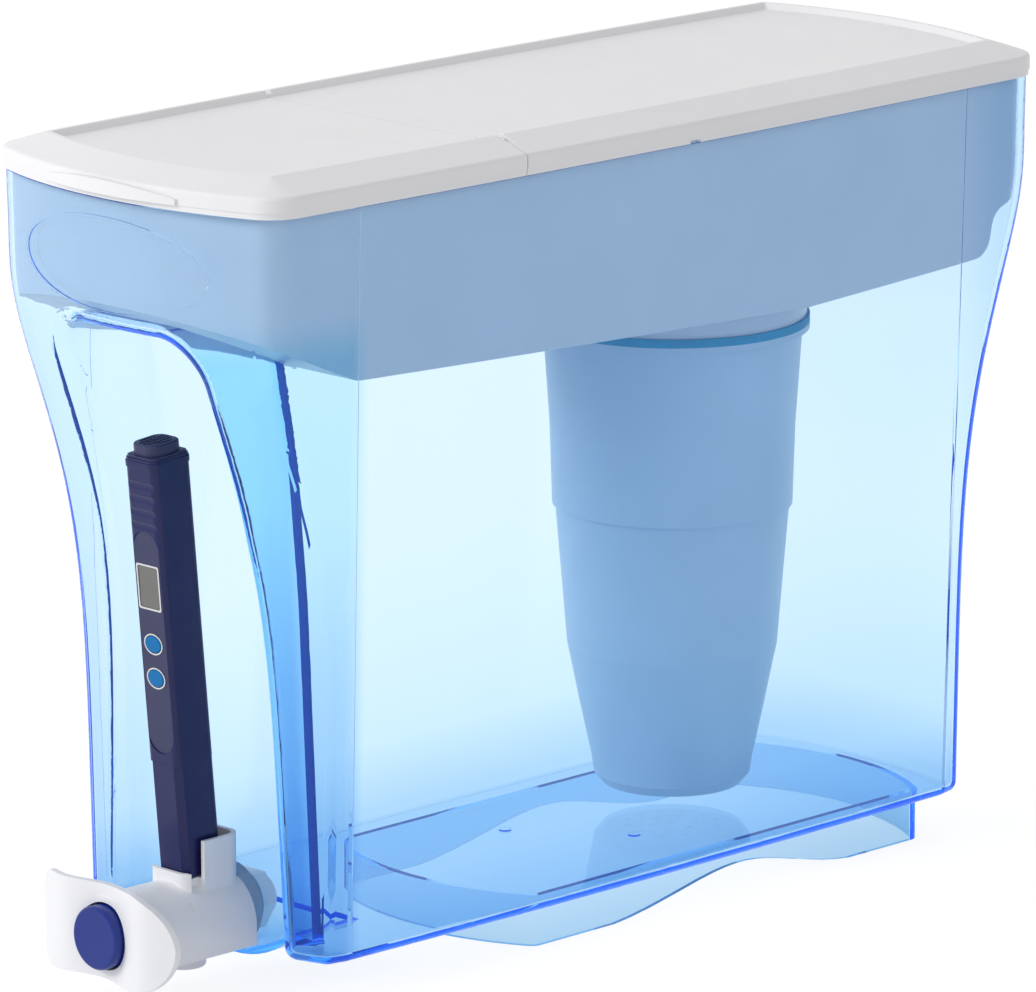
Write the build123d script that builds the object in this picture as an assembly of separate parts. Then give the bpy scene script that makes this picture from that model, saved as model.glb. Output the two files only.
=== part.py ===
from build123d import *
import os
from math import atan, cos, degrees, radians, sqrt

# Counter-top gravity water filter. Millimetres, +Z up, the tap at -Y.
# Everything is built about the middle of the tank and moved at the end, so that
# the origin lies under the middle of the whole object.

overlap = 0.5

# ---- Plan outline shared by lid, tank and reservoir ----
lid_half_width = 71.0
lid_half_length = 193.9
lid_corner_radius = 14.0
end_radius = 173.5
side_bow = 1.8
crease_y = 144.0
lid_wing_taper = 0.9
tank_wing_taper = 2.0
least_corner = 0.8

# ---- Tank ----
wall = 2.5
floor_thickness = 2.5
tank_bottom_z = 16.4
rim_z = 271.0
tank_inset = 1.3
tank_end_inset = 0.6
base_half_width = 61.6
base_half_length = 162.9
base_shift = 1.2
base_corner_radius = 4.5
base_edge_radius = 4.0
flare_start_z = 40.0
flare_end_z = 241.6
flare_skew = 2.2
crease_line_radius = 0.35
crease_line_low = 6.0

# ---- Niche in the front of the tank ----
niche_back = 140.2
niche_top_z = 227.0
niche_half_width = 31.7
niche_taper_z = 158.0
niche_base_half_width = 39.6
niche_corner_radius = 14.0
niche_taper_radius = 120.0
niche_straight_z = 125.0
niche_lean_radius = 480.0
niche_ceiling_radius = 8.0
rim_round = 6.0

# ---- Sump, foot skirt and front oval ----
sump_radius = 45.0
sump_drop = 8.9
sump_length = 31.6
foot_half_width = 49.4
foot_front_y = -47.4
foot_rear_y = 142.0
foot_front_bow = 13.8
foot_rear_bow = 15.0
foot_corner_radius = 5.0
foot_arch_height = 9.4
foot_arch_start_y = -22.0
foot_arch_crest_y = 56.0
foot_arch_end_y = 118.0
oval_half_width = 44.4
oval_half_height = 16.3
oval_z = 249.2
oval_line = 1.1
oval_relief = 0.55
gate_mark_radius = 2.2
gate_mark_height = 0.6
gate_marks = ((-14.0, 0.0), (22.0, 27.0))

# ---- Reservoir ----
reservoir_gap = 0.6
reservoir_wall = 2.0
flange_thickness = 1.8
flange_inset = 1.0
flange_end_inset = 1.7
reservoir_low_z = 205.3
reservoir_front_z = 213.0
reservoir_rear_z = 209.2
reservoir_front_lip_z = 227.0
reservoir_step_z = 224.0
reservoir_step_inset = 32.5
reservoir_bend_radius = 8.0
vent_width = 9.0
vent_depth = 0.35
vent_y = 7.4
vent_notch_width = 5.0
vent_notch_height = 1.0

# ---- Filter ----
filter_y = 68.1
collar_bottom_z = 194.4
collar_radius = 46.4
gasket_thickness = 2.9
lip_radius = 47.4
lip_thickness = 2.1
neck_radius = 43.0
neck_clearance = 0.4
neck_top_z = 206.0
housing_wall = 1.8
sleeve_top_radius = 44.9
sleeve_waist_z = 155.0
sleeve_waist_radius = 42.6
sleeve_end_z = 127.0
sleeve_end_radius = 41.75
shell_top_radius = 40.7
cone_start_z = 77.0
cone_start_radius = 36.6
cone_middle_z = 54.3
cone_middle_radius = 32.0
cone_end_z = 36.5
cone_end_radius = 28.2
filter_foot_z = 27.0
filter_foot_radius = 24.4
heel_radius = 27.3
heel_height = 3.5
spigot_height = 6.0
spigot_clearance = 0.1
bed_clearance = 0.25
carbon_top_z = 172.0
foam_thickness = 11.0
screen_thickness = 1.6
membrane_thickness = 2.2
outlet_hole_radius = 1.5
outlet_hole_rows = ((0.0, 1), (8.0, 6), (16.0, 12))
screen_clearance = 1.0
screen_hole_radius = 2.2
screen_hole_rows = ((9.0, 6), (18.0, 12), (27.0, 18), (35.0, 24))
inlet_cap_thickness = 2.0
inlet_plug_length = 6.0
inlet_plug_wall = 1.6
inlet_plug_clearance = 0.15
inlet_slot_length = 6.4
inlet_slot_width = 2.2
inlet_slot_rows = ((12.0, 6), (22.0, 12), (32.0, 16))

# ---- Lid ----
lid_gap = 0.4
lip_band = 2.0
lip_band_inset = 0.4
skirt_height = 7.0
crest_height = 11.6
knee_round = 1.5
crest_inset = 14.0
crest_width = 1.2
panel_depth = 2.2
panel_slope = 1.6
lid_wall = 2.2
lip_wall = 1.6
ledge_width = 2.2
seam_y = -71.1
seam_gap = 0.4
tab_half_width = 32.0
tab_reach = 2.3
tab_end_reach = 0.9
tab_side_height = 2.0
tab_middle_height = 4.8
tab_root = 1.0
hinge_depth = 2.0
knuckle_radius = 1.2
knuckle_width = 1.5
knuckle_clearance = 0.25
knuckle_gap = 0.2
swing_clearance = 0.3
hinge_pin_radius = 0.6
hinge_bore_clearance = 0.1
hinge_half_span = 56.9

# ---- Tap ----
tap_z = 24.9
tap_arch_radius = 16.8
tap_arch_z = 21.3
tap_flat_z = 14.3
tap_mark_y = 170.7
tap_mark_angle = 50.0
tap_mark_length = 2.4
tap_mark_width = 1.3
tap_mark_depth = 0.7
seal_thickness = 4.9
seal_radius = 14.3
shank_radius = 7.1
shank_clearance = 0.3
seal_clearance = 0.1
nut_clearance = 0.05
shank_bore = 5.6
shank_reach = 19.0
nut_flats = 19.0
nut_thickness = 6.0
inner_seal_thickness = 2.0
inner_seal_radius = 11.0
chamber_radius = 8.6
chamber_length = 24.0
seat_thickness = 2.2
seat_bore = 3.6
guide_thickness = 4.0
front_bore_depth = 11.0
nozzle_y = 162.9
nozzle_radius = 7.6
nozzle_bore = 5.4
nozzle_end_z = 7.9
nozzle_round = 0.8
nozzle_spigot_radius = 6.6
nozzle_spigot_height = 2.6
plate_y = 195.0
plate_thickness = 2.4
plate_half_width = 31.9
plate_half_height = 16.6
plate_corner_radius = 7.0
plate_z = 26.0
plate_wave = 2.8
plate_curl = 3.2
plate_collar_wall = 1.9
plate_collar_proud = 0.4
button_radius = 10.8
button_clearance = 0.7
button_reach = 202.3
button_length = 10.5
button_wall = 1.6
button_face = 2.4
button_round = 1.2
boss_wall = 1.4
boss_gap = 0.1
stem_socket = 2.8
button_travel = 4.0
stem_radius = 2.2
stem_clearance = 0.3
stem_head_radius = 3.4
stem_head_thickness = 1.6
valve_seal_radius = 4.9
valve_seal_thickness = 2.4
stem_seal_radius = 4.4
stem_seal_thickness = 2.0
spring_radius = 5.6
spring_wire = 0.9
spring_turns = 4
spring_clearance = 0.6

# ---- Meter holder on the tap ----
holder_half_width = 10.4
holder_wall = 1.6
holder_front_y = 169.8
holder_corner_radius = 5.5
holder_low_z = 41.6
holder_tall_z = 52.1
holder_slot_start_y = 162.4
holder_slot_end_y = 167.4
holder_slot_inner = 7.0

# ---- Meter ----
meter_width = 14.8
meter_depth = 16.8
meter_lean = 5.0
meter_foot_z = 39.6
meter_corner_radius = 2.6
meter_wall = 1.2
meter_face_wall = 2.2
meter_fit = 0.15
meter_front_gap = 0.6
probe_cap_length = 39.7
meter_shoulder = 144.4
bead_height = 2.4
bead_proud = 0.35
bead_top_gap = 0.8
bead_round = 0.3
battery_cap_height = 4.6
battery_cap_inset = 1.5
battery_cap_corner = 4.0
battery_cap_round = 0.7
battery_collar_inset = 0.5
battery_collar_height = 0.8
battery_spigot = 3.0
battery_spigot_wall = 1.2
cap_groove_count = 5
cap_groove_depth = 0.8
cap_groove_margin = 1.0
probe_cap_chamfer = 2.2
probe_cap_edge = 0.8
probe_cap_gap = 0.1
probe_cap_floor = 1.8
panel_width = 12.0
panel_low = 43.2
panel_high = 119.8
panel_sink = 0.4
face_panel_thickness = 0.8
panel_fit = 0.05
trim_sink = 0.15
display_centre = 100.6
display_width = 9.6
display_height = 14.4
display_frame_line = 0.6
display_sink = 0.5
power_button_at = 81.0
hold_button_at = 69.2
key_half_width = 3.7
key_half_height = 2.9
key_ring_line = 0.5
key_proud = 0.5
key_flange = 0.8
key_flange_thickness = 0.4
key_flange_gap = 0.1
key_round = 0.35
key_fit = 0.25
key_travel = 0.4
grip_groove_count = 4
grip_groove_pitch = 4.6
grip_groove_start = 121.6
grip_groove_radius = 2.6
grip_groove_depth = 0.35
probe_neck_width = 8.0
probe_neck_depth = 10.0
probe_neck_corner = 0.9
probe_neck_root = 6.0
probe_neck_end = 16.0
plug_length = 7.0
pin_radius = 0.9
pin_spacing = 5.0
pin_end = 7.0
board_thickness = 1.2
board_gap = 0.1
board_width = 10.6
board_low = 46.0
board_high = 128.0
cell_radius = 5.8
cell_thickness = 5.2
cell_gap = 0.2
spigot_end_gap = 0.4

# ---- Places worked out from the sizes above ----
row_shift = (button_reach - lid_half_length) / 2
tank_half_width = lid_half_width - tank_inset
tank_half_length = lid_half_length - tank_end_inset
tank_end_radius = end_radius - tank_inset
floor_z = tank_bottom_z + floor_thickness
sump_axis_z = tank_bottom_z - sump_drop + sump_radius
reservoir_inset = wall + reservoir_gap
flange_z = rim_z + flange_thickness
lid_bottom_z = rim_z + lid_gap
knee_z = lid_bottom_z + skirt_height
crest_z = lid_bottom_z + crest_height
panel_z = crest_z - panel_depth
hinge_z = crest_z - hinge_depth
gasket_bottom_z = collar_bottom_z - gasket_thickness
lip_bottom_z = gasket_bottom_z - lip_thickness
collar_bore = neck_radius + neck_clearance
tap_rear_y = niche_back + seal_thickness
seat_y = tap_rear_y
chamber_front_y = seat_y + seat_thickness + chamber_length
guide_front_y = chamber_front_y + guide_thickness
collar_front_y = guide_front_y + front_bore_depth
front_bore_radius = button_radius + button_clearance
spring_bore_radius = spring_radius + spring_wire / 2 + spring_clearance
stem_front_y = -button_reach + stem_socket
meter_foot_y = holder_front_y - holder_wall - meter_front_gap - meter_depth / 2 * cos(radians(meter_lean))
key_depth = meter_face_wall + key_flange_gap + key_flange_thickness
board_depth = key_depth + key_travel + board_gap
meter_frame = Pos(0, -meter_foot_y, meter_foot_z) * Rot(meter_lean, 0, 0)


# ---- Helpers ----
def block(x0, x1, y0, y1, z0, z1):
    """Box between two corners."""
    middle = Pos((x0 + x1) / 2, (y0 + y1) / 2, (z0 + z1) / 2)
    return middle * Box(x1 - x0, y1 - y0, z1 - z0)


def rod_x(radius, x0, x1, y, z):
    """Cylinder along X."""
    return Pos((x0 + x1) / 2, y, z) * Rot(0, 90, 0) * Cylinder(radius, x1 - x0)


def rod_y(radius, y0, y1, z, x=0):
    """Cylinder along Y."""
    return Pos(x, (y0 + y1) / 2, z) * Rot(90, 0, 0) * Cylinder(radius, y1 - y0)


def rod_z(radius, z0, z1, x=0, y=0):
    """Cylinder along Z."""
    return Pos(x, y, (z0 + z1) / 2) * Cylinder(radius, z1 - z0)


def raised(face, z0, z1):
    """Plan face extruded between two heights."""
    return extrude(Pos(0, 0, z0) * face, amount=z1 - z0, dir=(0, 0, 1))


def turned(*points):
    """Solid of revolution from (radius, height) points."""
    outline = Plane.XZ * Polyline(*points, close=True)
    return revolve(make_face(outline), Axis.Z)


def across_x(face, half_width):
    """Side-view face extruded both ways along X."""
    return extrude(Plane.YZ * face, amount=half_width, both=True)


def along_y(face, reach):
    """Front-view face extruded towards the front."""
    return extrude(Plane.XZ * face, amount=reach, dir=(0, -1, 0))


def rounded_bar(width, depth, radius, z0, z1):
    """Upright bar of rounded rectangular section."""
    return raised(RectangleRounded(width, depth, radius), z0, z1)


# ---- Shared outline ----
def plan_outline(half_width, half_length, radius, corner, taper):
    """Plan face: bowed sides, short wings beyond the creases, bowed ends."""
    crease_x = half_width - side_bow
    wing_x = crease_x - taper
    corner_y = half_length - radius + sqrt(radius**2 - wing_x**2)
    edges = []
    for s in (1, -1):
        side_end = (s * crease_x, s * crease_y)
        edges.append(ThreePointArc((s * crease_x, -s * crease_y), (s * half_width, 0), side_end))
        edges.append(Line((s * crease_x, s * crease_y), (s * wing_x, s * corner_y)))
        edges.append(ThreePointArc((s * wing_x, s * corner_y), (0, s * half_length), (-s * wing_x, s * corner_y)))
        edges.append(Line((-s * wing_x, s * corner_y), (-s * crease_x, s * crease_y)))
    face = make_face(edges)
    sharp = face.vertices().filter_by(lambda v: abs(v.Y) > crease_y + 1)
    return fillet(sharp, corner)


def lid_outline(inset):
    """Lid outline, moved inward."""
    corner = max(lid_corner_radius - inset, least_corner)
    half_width, half_length = lid_half_width - inset, lid_half_length - inset
    return plan_outline(half_width, half_length, end_radius - inset, corner, lid_wing_taper)


def flare(z):
    """How far the ends have swept out at a height: 0 low down, 1 near the rim."""
    t = min(max((z - flare_start_z) / (flare_end_z - flare_start_z), 0), 1) ** flare_skew
    return t * t * (3 - 2 * t)


def tank_section(z, inset):
    """Tank outline at a height, moved inward."""
    up = (z - tank_bottom_z) / (rim_z - tank_bottom_z)
    half_width = base_half_width + (tank_half_width - base_half_width) * up
    half_length = base_half_length + (tank_half_length - base_half_length) * flare(z)
    top_corner = lid_corner_radius - tank_inset
    corner = base_corner_radius + (top_corner - base_corner_radius) * flare(z)
    face = plan_outline(half_width - inset, half_length - inset, tank_end_radius - inset,
                        max(corner - inset, least_corner), tank_wing_taper)
    return Pos(0, base_shift * (1 - up), z) * face


def section_heights():
    """Heights of the sections that carry the S-curve, run on past both ends."""
    span = flare_end_z - flare_start_z
    lower = [tank_bottom_z - 80, tank_bottom_z - 40, tank_bottom_z, (tank_bottom_z + flare_start_z) / 2]
    middle = [flare_start_z + span * share for share in (0, 0.12, 0.24, 0.38, 0.52, 0.66, 0.79, 0.88, 0.95, 1)]
    upper = [flare_end_z + 8, (flare_end_z + rim_z) / 2 + 4, rim_z, rim_z + 20, rim_z + 40]
    return lower + middle + upper


def tub(inset, low_z, high_z):
    """Lofted tub shape between two heights."""
    long = loft([tank_section(z, inset) for z in section_heights()])
    return long & block(-lid_half_width, lid_half_width, -lid_half_length, lid_half_length, low_z, high_z)


# ---- Tank ----
def niche_lean(z):
    """How far the niche's back wall has leaned forward at a height."""
    return max(z - niche_straight_z, 0) ** 2 / 2 / niche_lean_radius


def niche_space(grow):
    """The recess in the front, grown outward all round."""
    top = niche_top_z + grow
    low = -10
    base, upper = niche_base_half_width + grow, niche_half_width + grow
    half = [(base, low), (upper, niche_taper_z), (upper, top)]
    arch = make_face(Polyline(*half, *[(-x, z) for x, z in reversed(half)], close=True))
    arch = fillet(arch.vertices().filter_by(lambda v: v.Y > top - 1), niche_corner_radius + grow)
    arch = fillet(arch.vertices().filter_by(lambda v: abs(v.Y - niche_taper_z) < 1), niche_taper_radius)
    opening = along_y(arch, lid_half_length + 40)
    back = grow - niche_back
    front = -lid_half_length - 40
    bend_z = (niche_straight_z + top) / 2
    leaned = back - niche_lean(top)
    lean = ThreePointArc((back, niche_straight_z), (back - niche_lean(bend_z), bend_z), (leaned, top))
    edges = [Line((front, low), (back, low)), Line((back, low), (back, niche_straight_z)), lean,
             Line((leaned, top), (front, top)), Line((front, top), (front, low))]
    side = make_face(edges)
    ceiling_corner = side.vertices().filter_by(lambda v: v.X > front + 1 and v.Y > top - 1)
    side = fillet(ceiling_corner, niche_ceiling_radius + grow)
    return opening & across_x(side, lid_half_width)


def niche_rim(solid, reach):
    """Edges where the niche meets the front wall."""
    def on_rim(edge):
        ends = (edge.position_at(0), edge.position_at(1))
        low = tank_bottom_z + 0.5
        return (edge.geom_type == GeomType.BSPLINE and all(p.Y < -reach for p in ends)
                and all(abs(p.X) < niche_base_half_width + wall + 1 for p in ends)
                and low < edge.center().Z < niche_top_z + wall + 3)
    return solid.edges().filter_by(on_rim)


def lower_edges(solid, low_z, back_y):
    """Edges round the bottom, without the one at the niche's back."""
    def wanted(edge):
        middle = edge.center()
        return abs(middle.Z - low_z) < 0.01 and abs(middle.Y - back_y) > 1
    return solid.edges().filter_by(wanted)


def tank_form(inset, low_z, high_z):
    """Tub with its niche and with rounded rim and lower edges, moved inward."""
    form = tub(inset, low_z, high_z) - niche_space(inset)
    form = fillet(niche_rim(form, niche_back + 15 - inset), rim_round - inset)
    return fillet(lower_edges(form, low_z, inset - niche_back), base_edge_radius - inset)


def sump(grow):
    """Trough under the floor in front, where the tap draws from."""
    inset = wall - grow
    trough = rod_y(sump_radius - inset, -niche_back + inset, -niche_back + sump_length - inset, sump_axis_z)
    return trough & block(-lid_half_width, lid_half_width, -niche_back - 5, 0, 0, floor_z + 0.2)


def foot_outline():
    """Plan face of the foot skirt."""
    w = foot_half_width
    edges = [Line((w, foot_front_y), (w, foot_rear_y)),
             ThreePointArc((w, foot_rear_y), (0, foot_rear_y + foot_rear_bow), (-w, foot_rear_y)),
             Line((-w, foot_rear_y), (-w, foot_front_y)),
             ThreePointArc((-w, foot_front_y), (0, foot_front_y - foot_front_bow), (w, foot_front_y))]
    face = make_face(edges)
    return fillet(face.vertices(), foot_corner_radius)


def foot_skirt():
    """Skirt that the tank stands on, arched along both sides."""
    outline = foot_outline()
    skirt = raised(outline - offset(outline, -wall), 0, tank_bottom_z + overlap)
    start, end = (foot_arch_start_y, -overlap), (foot_arch_end_y, -overlap)
    crest = (foot_arch_crest_y, foot_arch_height)
    curve = Spline(start, crest, end, tangents=[(1, 0), (1, 0)])
    face = make_face([curve, Line(end, start)])
    return skirt - across_x(face, lid_half_width)


def front_oval():
    """Raised oval line on the front wall."""
    line = Ellipse(oval_half_width, oval_half_height)
    line -= Ellipse(oval_half_width - oval_line, oval_half_height - oval_line)
    band = along_y(Pos(0, oval_z) * line, lid_half_length + 20)
    low_z = oval_z - oval_half_height - 2
    heights = (low_z, low_z + 5, flare_end_z, flare_end_z + 10, rim_z - 1)
    skin = loft([tank_section(z, -oval_relief) for z in heights])
    skin -= loft([tank_section(z, wall / 2) for z in heights])
    return band & skin & block(-80, 80, -lid_half_length - 10, -niche_back, low_z, rim_z)


def crease_lines():
    """Fine straight grooves down the four side creases."""
    low = Vector(base_half_width - side_bow, base_shift - crease_y, tank_bottom_z)
    high = Vector(tank_half_width - side_bow, -crease_y, rim_z)
    rear = Vector(0, 2 * crease_y, 0)
    lines = []
    for shift in (Vector(0, 0, 0), rear):
        start, end = low + shift, high + shift
        along = (end - start).normalized()
        reach = (end - start).length - crease_line_low + overlap
        middle = end + along * (overlap - reach / 2)
        line = Plane(middle, z_dir=along) * Cylinder(crease_line_radius, reach)
        lines += [line, mirror(line, Plane.YZ)]
    return lines


def make_tank():
    hull = tank_form(0, tank_bottom_z, rim_z)
    cavity = tank_form(wall, floor_z, rim_z + 1)
    shell = hull + sump(wall) - cavity - sump(0)
    shell += foot_skirt()
    shell += front_oval()
    for x, y in gate_marks:
        shell += rod_z(gate_mark_radius, floor_z - overlap, floor_z + gate_mark_height, x, y)
    shell -= crease_lines()
    return shell - rod_y(shank_radius + shank_clearance, -niche_back - 5, -niche_back + 5, tap_z)


# ---- Reservoir ----
def reservoir_profile():
    """Side view of the space that the reservoir fills, seen along X."""
    end = lid_half_length
    step_y = end - reservoir_step_inset
    bends = [(-end + 18, reservoir_front_lip_z + 1), (-crease_y + 2, reservoir_front_z),
             (step_y, reservoir_rear_z), (step_y + 2.5, reservoir_step_z)]
    points = [(-end, niche_top_z + 11), *bends[:2], (filter_y, reservoir_low_z), *bends[2:],
              (end, reservoir_step_z + 11), (end, rim_z + 30), (-end, rim_z + 30)]
    face = make_face(Polyline(*points, close=True))
    def at_bend(vertex):
        return any(abs(vertex.X - y) + abs(vertex.Y - z) < 0.1 for y, z in bends)
    return fillet(face.vertices().filter_by(at_bend), reservoir_bend_radius)


def reservoir_body(inset, profile):
    """Tub between the tank's walls, cut to the profile and clear of the niche."""
    shape = tub(inset, reservoir_low_z - 10, rim_z + flange_thickness + 1)
    shape &= across_x(profile, lid_half_width)
    return shape - niche_space(inset)


def vent_channels():
    """Shallow rounded channels up both side walls."""
    radius = (vent_width**2 / 4 + vent_depth**2) / 2 / vent_depth
    draft = degrees(atan((tank_half_width - base_half_width) / (rim_z - tank_bottom_z)))
    side_x = tank_half_width - reservoir_inset + radius - vent_depth
    channel = Pos(side_x, vent_y, rim_z) * Rot(0, draft, 0) * Cylinder(radius, 2 * (rim_z - reservoir_low_z + 20))
    return channel + mirror(channel, Plane.YZ)


def make_reservoir():
    profile = reservoir_profile()
    hollow = reservoir_body(reservoir_inset + reservoir_wall, offset(profile, -reservoir_wall))
    body = reservoir_body(reservoir_inset, profile) & block(-90, 90, -200, 200, 0, rim_z)
    body -= vent_channels()
    rim = plan_outline(tank_half_width - flange_inset, tank_half_length - flange_end_inset,
                       tank_end_radius - flange_inset, lid_corner_radius - tank_inset - flange_inset,
                       tank_wing_taper)
    body += raised(rim, rim_z, flange_z)
    body += rod_z(collar_radius, collar_bottom_z, reservoir_low_z + 2, 0, filter_y)
    body -= hollow
    return body - rod_z(collar_bore, collar_bottom_z - 1, reservoir_low_z + 12, 0, filter_y)


# ---- Filter ----
def at_filter(solid):
    """Move a turned solid to the filter's axis."""
    return Pos(0, filter_y, 0) * solid


def make_filter_gasket():
    ring = rod_z(lip_radius, gasket_bottom_z, collar_bottom_z)
    return at_filter(ring - rod_z(collar_bore, gasket_bottom_z - 1, collar_bottom_z + 1))


def make_filter_sleeve():
    w = housing_wall
    return at_filter(turned(
        (neck_radius - w, neck_top_z), (neck_radius, neck_top_z), (neck_radius, gasket_bottom_z),
        (lip_radius, gasket_bottom_z), (lip_radius, lip_bottom_z), (sleeve_top_radius, lip_bottom_z),
        (sleeve_waist_radius, sleeve_waist_z),
        (sleeve_end_radius, sleeve_end_z), (sleeve_end_radius - w, sleeve_end_z),
        (sleeve_waist_radius - w, sleeve_waist_z), (sleeve_top_radius - w, lip_bottom_z - w),
        (neck_radius - w, lip_bottom_z + w)))


def make_filter_shell():
    w = housing_wall
    spigot = sleeve_end_radius - w - spigot_clearance
    spigot_top = sleeve_end_z + spigot_height
    shell = turned(
        (0, filter_foot_z), (filter_foot_radius, filter_foot_z),
        (heel_radius, filter_foot_z + heel_height), (cone_end_radius, cone_end_z),
        (cone_middle_radius, cone_middle_z), (cone_start_radius, cone_start_z),
        (shell_top_radius, sleeve_end_z), (spigot, sleeve_end_z), (spigot, spigot_top),
        (spigot - w, spigot_top), (spigot - w, sleeve_end_z - w), (cone_start_radius - w, cone_start_z),
        (cone_middle_radius - w, cone_middle_z), (cone_end_radius - w, cone_end_z),
        (heel_radius - w, filter_foot_z + heel_height), (filter_foot_radius - w, filter_foot_z + w),
        (0, filter_foot_z + w))
    for radius, count in outlet_hole_rows:
        for spot in PolarLocations(radius, count):
            shell -= spot * rod_z(outlet_hole_radius, filter_foot_z - 1, filter_foot_z + w + 1)
    return at_filter(shell)


def bed_radius(z):
    """Inside radius of the lower shell at a height, less the bed's clearance."""
    places = [(filter_foot_z + heel_height, heel_radius), (cone_end_z, cone_end_radius),
              (cone_middle_z, cone_middle_radius), (cone_start_z, cone_start_radius),
              (sleeve_end_z, shell_top_radius)]
    for (z0, r0), (z1, r1) in zip(places, places[1:]):
        if z <= z1:
            return r0 + (r1 - r0) * (z - z0) / (z1 - z0) - housing_wall - bed_clearance
    return shell_top_radius - housing_wall - bed_clearance


def make_fine_membrane():
    low = filter_foot_z + housing_wall
    radius = filter_foot_radius - housing_wall - bed_clearance
    return at_filter(rod_z(radius, low, low + membrane_thickness))


def make_resin_bed():
    low = filter_foot_z + housing_wall + membrane_thickness
    top = sleeve_end_z + spigot_height
    inner = sleeve_end_radius - 2 * housing_wall - spigot_clearance - bed_clearance
    points = [(0, low), (filter_foot_radius - housing_wall - bed_clearance, low)]
    points += [(bed_radius(z), z) for z in (cone_end_z, cone_middle_z, cone_start_z)]
    points += [(inner, sleeve_end_z - housing_wall), (inner, top), (0, top)]
    return at_filter(turned(*points))


def make_carbon_bed():
    low = sleeve_end_z + spigot_height
    inner = sleeve_end_radius - housing_wall - bed_clearance
    waist = sleeve_waist_radius - housing_wall - bed_clearance
    outline = [(0, low), (inner, low), (waist, sleeve_waist_z), (waist, carbon_top_z), (0, carbon_top_z)]
    return at_filter(turned(*outline))


def make_foam_distributor():
    radius = sleeve_waist_radius - housing_wall
    return at_filter(rod_z(radius, carbon_top_z, carbon_top_z + foam_thickness))


def make_coarse_screen():
    low = carbon_top_z + foam_thickness
    radius = sleeve_top_radius - housing_wall - screen_clearance
    screen = rod_z(radius, low, low + screen_thickness)
    for radius_at, count in screen_hole_rows:
        for spot in PolarLocations(radius_at, count):
            screen -= spot * rod_z(screen_hole_radius, low - 1, low + screen_thickness + 1)
    return at_filter(screen)


def make_inlet_cap():
    plug = neck_radius - housing_wall - inlet_plug_clearance
    low = neck_top_z - inlet_plug_length
    top = neck_top_z + inlet_cap_thickness
    cap = rod_z(neck_radius, neck_top_z, top)
    cap += rod_z(plug, low, neck_top_z) - rod_z(plug - inlet_plug_wall, low - 1, neck_top_z)
    half_length, half_width = inlet_slot_length / 2, inlet_slot_width / 2
    for radius_at, count in inlet_slot_rows:
        for spot in PolarLocations(radius_at, count):
            cap -= spot * block(-half_length, half_length, -half_width, half_width, low - 1, top + 1)
    return at_filter(cap)


# ---- Lid ----
def bevel(low_z, low_inset, high_z, high_inset):
    """Straight-sided solid between two lid outlines."""
    sections = [Pos(0, 0, low_z) * lid_outline(low_inset), Pos(0, 0, high_z) * lid_outline(high_inset)]
    return loft(sections, ruled=True)


def lid_blank():
    """The whole lid before it is parted at the seam."""
    band = raised(lid_outline(lip_band_inset), lid_bottom_z, lid_bottom_z + lip_band)
    skirt = raised(lid_outline(0), lid_bottom_z + lip_band, knee_z)
    solid = band + skirt + bevel(knee_z, 0, crest_z, crest_inset)
    solid = fillet(solid.edges().filter_by(lambda e: abs(e.center().Z - knee_z) < 0.01), knee_round)
    inner = crest_inset + crest_width
    solid -= bevel(panel_z, inner + panel_slope, crest_z + 1, inner)
    low_hollow = lip_band_inset + lip_wall
    ledge = low_hollow + ledge_width
    roof = panel_z - lid_wall
    solid -= raised(lid_outline(low_hollow), lid_bottom_z - 1, flange_z)
    solid -= raised(lid_outline(ledge), flange_z - 1, knee_z - lid_wall)
    return solid - bevel(knee_z - lid_wall, ledge, roof, crest_inset)


def finger_tab():
    """Lip under the front edge of the flap, highest in the middle."""
    drop = end_radius - sqrt(end_radius**2 - tab_half_width**2)
    side_y = -lid_half_length + drop - tab_end_reach
    back_y = side_y + 8
    w = tab_half_width
    plan = make_face([ThreePointArc((-w, side_y), (0, -lid_half_length - tab_reach), (w, side_y)),
                      Polyline((w, side_y), (w, back_y), (-w, back_y), (-w, side_y))])
    low = lid_bottom_z + lip_band
    side_z, middle_z = low + tab_side_height, low + tab_middle_height
    front = make_face([ThreePointArc((-w, side_z), (0, middle_z), (w, side_z)),
                       Polyline((w, side_z), (w, low), (-w, low), (-w, side_z))])
    tab = raised(plan, low, middle_z + 1) & along_y(front, lid_half_length + 20)
    return tab - raised(lid_outline(tab_root), low - 1, middle_z + 2)


def hinge_band(x0, x1, radius):
    """Cylinders about the hinge axis, on both sides of the lid."""
    return rod_x(radius, x0, x1, seam_y, hinge_z) + rod_x(radius, -x1, -x0, seam_y, hinge_z)


def knuckle_edges():
    """Where along X the flap's and the rear lid's knuckles start and end."""
    flap = (hinge_half_span, hinge_half_span + knuckle_width)
    rear = (flap[1] + knuckle_gap, flap[1] + knuckle_gap + knuckle_width)
    return flap, rear


def make_fill_flap(blank):
    flap, rear = knuckle_edges()
    front = block(-100, 100, -300, seam_y - seam_gap / 2, 0, 400)
    solid = (blank & front) + finger_tab()
    clear = knuckle_radius + knuckle_clearance
    solid -= hinge_band(rear[0] - knuckle_gap, rear[1] + swing_clearance, clear)
    solid += hinge_band(*flap, knuckle_radius)
    return solid - hinge_band(flap[0] - 1, flap[1] + 1, hinge_pin_radius + hinge_bore_clearance)


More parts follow.
